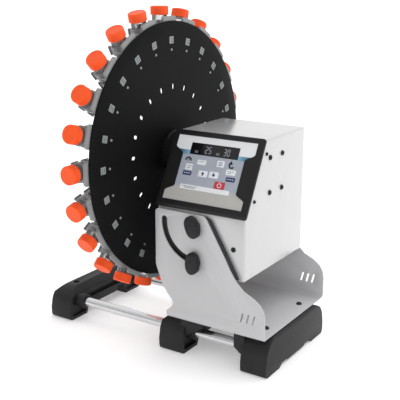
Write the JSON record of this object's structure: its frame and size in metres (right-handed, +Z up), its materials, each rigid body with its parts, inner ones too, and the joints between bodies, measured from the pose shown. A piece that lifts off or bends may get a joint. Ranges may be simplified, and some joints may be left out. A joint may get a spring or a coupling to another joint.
{
  "type": "tube rotator",
  "caption": "Laboratory tube rotator: a vertical disc carries capped conical tubes in clips around its rim and turns on a tilting drive head, in a channel stand on black feet joined by rods.",
  "frame": {"origin": "on the bench, at the centre of the object's footprint box", "axes": "+X along the disc's axis from the disc towards the drive head, +Y from the control panel to the back, +Z up"},
  "size_m": [0.5196, 0.554, 0.646],
  "materials": {
    "grey_sheet": "powder-coated satin light grey",
    "white_sheet": "powder-coated satin off-white",
    "friction_black": "matt friction lining",
    "black_plastic": "moulded black, fine texture",
    "disc_black": "flat black sheet",
    "clip_grey": "natural translucent moulding",
    "tube_and_cap": "clear tube with an orange ribbed cap",
    "rod_steel": "ground bright bar",
    "bracket_steel": "black",
    "motor_grey": "grey housing",
    "foil_grey": "printed polyester foil",
    "display_black": "tinted window",
    "key_white": "embossed foil key",
    "key_blue": "embossed foil key",
    "key_red": "embossed foil key"
  },
  "bodies": {
    "stand_body": {"stand": "grey_sheet", "lining_front": "friction_black", "lining_back": "friction_black", "foot_outrigger": "black_plastic", "foot_middle": "black_plastic", "foot_right": "black_plastic", "tie_rod_front": "rod_steel", "tie_rod_back": "rod_steel"},
    "head_body": {"housing": "white_sheet", "panel_frame": "black_plastic", "keypad_foil": "foil_grey", "display_window": "display_black", "drive_bracket": "bracket_steel", "gear_motor": "motor_grey", "bearing": "rod_steel", "board_tray": "bracket_steel", "power_inlet": "black_plastic", "switch_bezel": "black_plastic"},
    "rotor_body": {"disc": "disc_black", "clip_ring": "clip_grey", "drive_hub": "black_plastic", "clamp_nut": "black_plastic", "tube_01": "tube_and_cap", "tube_02": "tube_and_cap", "tube_03": "tube_and_cap", "tube_04": "tube_and_cap", "tube_05": "tube_and_cap", "tube_06": "tube_and_cap", "tube_07": "tube_and_cap", "tube_08": "tube_and_cap", "tube_09": "tube_and_cap", "tube_10": "tube_and_cap", "tube_11": "tube_and_cap", "tube_12": "tube_and_cap", "tube_13": "tube_and_cap", "tube_14": "tube_and_cap", "tube_15": "tube_and_cap", "tube_16": "tube_and_cap", "tube_17": "tube_and_cap", "tube_18": "tube_and_cap", "tube_19": "tube_and_cap", "tube_20": "tube_and_cap", "tube_21": "tube_and_cap", "tube_22": "tube_and_cap", "tube_23": "tube_and_cap", "tube_24": "tube_and_cap"},
    "key_left_body": {"key_left": "key_blue"},
    "key_right_body": {"key_right": "key_blue"},
    "key_up_body": {"key_up": "key_white"},
    "key_down_body": {"key_down": "key_white"},
    "key_mode_body": {"key_mode": "key_white"},
    "key_stop_body": {"key_stop": "key_red"},
    "switch_rocker_body": {"switch_rocker": "black_plastic"},
    "pivot_knob_front_body": {"pivot_knob_front": "black_plastic"},
    "pivot_knob_back_body": {"pivot_knob_back": "black_plastic"},
    "lock_knob_front_body": {"lock_knob_front": "black_plastic"},
    "lock_knob_back_body": {"lock_knob_back": "black_plastic"}
  },
  "joints": [
    {"name": "head_tilt", "type": "hinge", "parent": "stand_body", "child": "head_body", "pos_m": [0.11015, 0, 0.266], "axis": [0, 1, 0], "range_deg": [0, 90]},
    {"name": "disc_spin", "type": "hinge", "parent": "head_body", "child": "rotor_body", "pos_m": [-0.02425, 0, 0.369], "axis": [1, 0, 0], "continuous": true},
    {"name": "key_left_press", "type": "slide", "parent": "head_body", "child": "key_left_body", "axis": [0, 0.8817, -0.4717], "range_m": [0, 0.0004], "stiffness_N_per_m": 400, "springref_m": -0.0005},
    {"name": "key_up_press", "type": "slide", "parent": "head_body", "child": "key_up_body", "axis": [0, 0.8817, -0.4717], "range_m": [0, 0.0004], "stiffness_N_per_m": 400, "springref_m": -0.0005},
    {"name": "key_down_press", "type": "slide", "parent": "head_body", "child": "key_down_body", "axis": [0, 0.8817, -0.4717], "range_m": [0, 0.0004], "stiffness_N_per_m": 400, "springref_m": -0.0005},
    {"name": "key_right_press", "type": "slide", "parent": "head_body", "child": "key_right_body", "axis": [0, 0.8817, -0.4717], "range_m": [0, 0.0004], "stiffness_N_per_m": 400, "springref_m": -0.0005},
    {"name": "key_mode_press", "type": "slide", "parent": "head_body", "child": "key_mode_body", "axis": [0, 0.8817, -0.4717], "range_m": [0, 0.0004], "stiffness_N_per_m": 400, "springref_m": -0.0005},
    {"name": "key_stop_press", "type": "slide", "parent": "head_body", "child": "key_stop_body", "axis": [0, 0.8817, -0.4717], "range_m": [0, 0.0004], "stiffness_N_per_m": 400, "springref_m": -0.0005},
    {"name": "power_rocker", "type": "hinge", "parent": "head_body", "child": "switch_rocker_body", "pos_m": [0.08775, 0.111, 0.387], "axis": [0, 0, 1], "range_deg": [-8, 0]},
    {"name": "pivot_knob_front_turn", "type": "hinge", "parent": "head_body", "child": "pivot_knob_front_body", "pos_m": [0.11015, 0, 0.266], "axis": [0, 1, 0], "range_deg": [0, 180]},
    {"name": "lock_knob_front_turn", "type": "hinge", "parent": "head_body", "child": "lock_knob_front_body", "pos_m": [0.11015, 0, 0.197], "axis": [0, 1, 0], "range_deg": [0, 180]},
    {"name": "pivot_knob_back_turn", "type": "hinge", "parent": "head_body", "child": "pivot_knob_back_body", "pos_m": [0.11015, 0, 0.266], "axis": [0, 1, 0], "range_deg": [0, 180]},
    {"name": "lock_knob_back_turn", "type": "hinge", "parent": "head_body", "child": "lock_knob_back_body", "pos_m": [0.11015, 0, 0.197], "axis": [0, 1, 0], "range_deg": [0, 180]}
  ]
}
